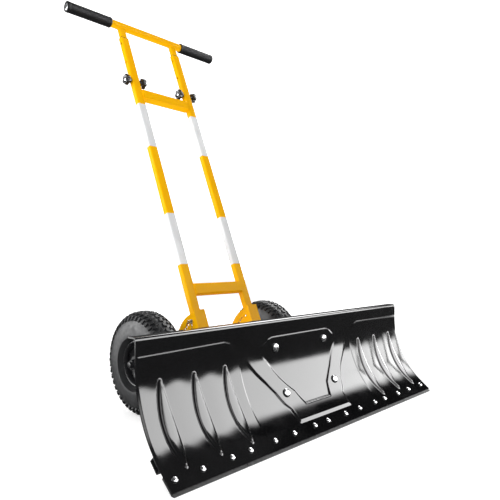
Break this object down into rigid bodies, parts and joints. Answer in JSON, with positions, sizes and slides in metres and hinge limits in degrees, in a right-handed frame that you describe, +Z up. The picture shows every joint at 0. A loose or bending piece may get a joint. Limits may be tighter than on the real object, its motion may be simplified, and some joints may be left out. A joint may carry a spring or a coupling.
{
  "type": "wheeled snow pusher",
  "caption": "Wheeled snow pusher: a curved blade with rubber scraper strips on a two-wheel frame, with a tilting, telescoping T-handle held by lock pins and clamp knobs.",
  "frame": {"origin": "bottom centre of the bounding box: on the floor, on the plane of symmetry, half-way between the blade's lip and the back of the grips", "axes": "+Z up, +X to the right seen from in front of the blade, -Y the way the blade's hollow face looks and the tool is pushed; the handle leans to +Y"},
  "size_m": [0.914, 0.7374, 1.1444],
  "materials": {
    "blade_black": "black gloss powder coat",
    "scraper_rubber": "matt black scraper rubber",
    "zinc_steel": "zinc-plated steel",
    "yellow_paint": "warm yellow powder coat, with silver reflective bands on the uprights",
    "tyre_rubber": "dark grey tyre rubber",
    "knob_plastic": "black moulded plastic",
    "grip_rubber": "soft black rubber sleeve"
  },
  "bodies": {
    "base": {"blade": "blade_black", "clamp_bar": "blade_black", "blade_stiffener": "blade_black", "scraper_strip_1": "scraper_rubber", "scraper_strip_2": "scraper_rubber", "scraper_strip_3": "scraper_rubber", "scraper_strip_4": "scraper_rubber", "edge_bolt_01": "zinc_steel", "edge_bolt_02": "zinc_steel", "edge_bolt_03": "zinc_steel", "edge_bolt_04": "zinc_steel", "edge_bolt_05": "zinc_steel", "edge_bolt_06": "zinc_steel", "edge_bolt_07": "zinc_steel", "edge_bolt_08": "zinc_steel", "edge_bolt_09": "zinc_steel", "edge_bolt_10": "zinc_steel", "edge_bolt_11": "zinc_steel", "edge_bolt_12": "zinc_steel", "edge_bolt_13": "zinc_steel", "edge_bolt_14": "zinc_steel", "edge_bolt_15": "zinc_steel", "mount_bolt_left_lower": "zinc_steel", "mount_bolt_left_upper": "zinc_steel", "mount_bolt_right_lower": "zinc_steel", "mount_bolt_right_upper": "zinc_steel", "blade_mount_left": "blade_black", "blade_mount_right": "blade_black", "push_arm_left": "yellow_paint", "push_arm_right": "yellow_paint", "front_cross_tube": "yellow_paint", "axle_tube": "yellow_paint", "index_bracket_left": "yellow_paint", "index_bracket_right": "yellow_paint", "axle": "zinc_steel", "axle_spacer_left": "yellow_paint", "axle_spacer_right": "yellow_paint", "axle_nut_left": "zinc_steel", "axle_nut_right": "zinc_steel", "pivot_bolt_left": "zinc_steel", "pivot_bolt_right": "zinc_steel"},
    "wheel_left": {"tyre_left": "tyre_rubber", "rim_left": "blade_black"},
    "wheel_right": {"tyre_right": "tyre_rubber", "rim_right": "blade_black"},
    "handle": {"upright_left": "yellow_paint", "upright_right": "yellow_paint", "upper_crossbar": "yellow_paint", "lower_crossbar": "yellow_paint"},
    "t_handle": {"t_handle": "yellow_paint", "grip_left": "grip_rubber", "grip_right": "grip_rubber"},
    "lock_pin_left": {"lock_pin_left": "zinc_steel"},
    "pull_ring_left": {"pull_ring_left": "zinc_steel"},
    "clamp_knob_left_outer": {"clamp_knob_left_outer": "knob_plastic"},
    "clamp_knob_left_inner": {"clamp_knob_left_inner": "knob_plastic"},
    "lock_pin_right": {"lock_pin_right": "zinc_steel"},
    "pull_ring_right": {"pull_ring_right": "zinc_steel"},
    "clamp_knob_right_outer": {"clamp_knob_right_outer": "knob_plastic"},
    "clamp_knob_right_inner": {"clamp_knob_right_inner": "knob_plastic"}
  },
  "joints": [
    {"name": "wheel_left", "type": "hinge", "parent": "base", "child": "wheel_left", "pos_m": [-0.219, 0.05589, 0.13], "axis": [1, 0, 0], "continuous": true},
    {"name": "wheel_right", "type": "hinge", "parent": "base", "child": "wheel_right", "pos_m": [0.219, 0.05589, 0.13], "axis": [1, 0, 0], "continuous": true},
    {"name": "handle_tilt", "type": "hinge", "parent": "base", "child": "handle", "pos_m": [0, -0.02861, 0.16], "axis": [-1, 0, 0], "range_deg": [0, 45]},
    {"name": "handle_height", "type": "slide", "parent": "handle", "child": "t_handle", "axis": [0, 0.3665, 0.9304], "range_m": [0, 0.13]},
    {"name": "lock_pin_left", "type": "slide", "parent": "handle", "child": "lock_pin_left", "axis": [-1, 0, 0], "range_m": [0, 0.039]},
    {"name": "pull_ring_left", "type": "hinge", "parent": "lock_pin_left", "child": "pull_ring_left", "pos_m": [-0.12582, -0.00259, 0.22606], "axis": [0, 1, 0], "range_deg": [-15, 25]},
    {"name": "clamp_knob_left_outer", "type": "hinge", "parent": "handle", "child": "clamp_knob_left_outer", "pos_m": [-0.1121, 0.27522, 0.93132], "axis": [-1, 0, 0], "continuous": true},
    {"name": "clamp_knob_left_inner", "type": "hinge", "parent": "handle", "child": "clamp_knob_left_inner", "pos_m": [-0.0845, 0.27522, 0.93132], "axis": [1, 0, 0], "continuous": true},
    {"name": "lock_pin_right", "type": "slide", "parent": "handle", "child": "lock_pin_right", "axis": [1, 0, 0], "range_m": [0, 0.039]},
    {"name": "pull_ring_right", "type": "hinge", "parent": "lock_pin_right", "child": "pull_ring_right", "pos_m": [0.12582, -0.00259, 0.22606], "axis": [0, -1, 0], "range_deg": [-15, 25]},
    {"name": "clamp_knob_right_outer", "type": "hinge", "parent": "handle", "child": "clamp_knob_right_outer", "pos_m": [0.1121, 0.27522, 0.93132], "axis": [1, 0, 0], "continuous": true},
    {"name": "clamp_knob_right_inner", "type": "hinge", "parent": "handle", "child": "clamp_knob_right_inner", "pos_m": [0.0845, 0.27522, 0.93132], "axis": [-1, 0, 0], "continuous": true}
  ]
}
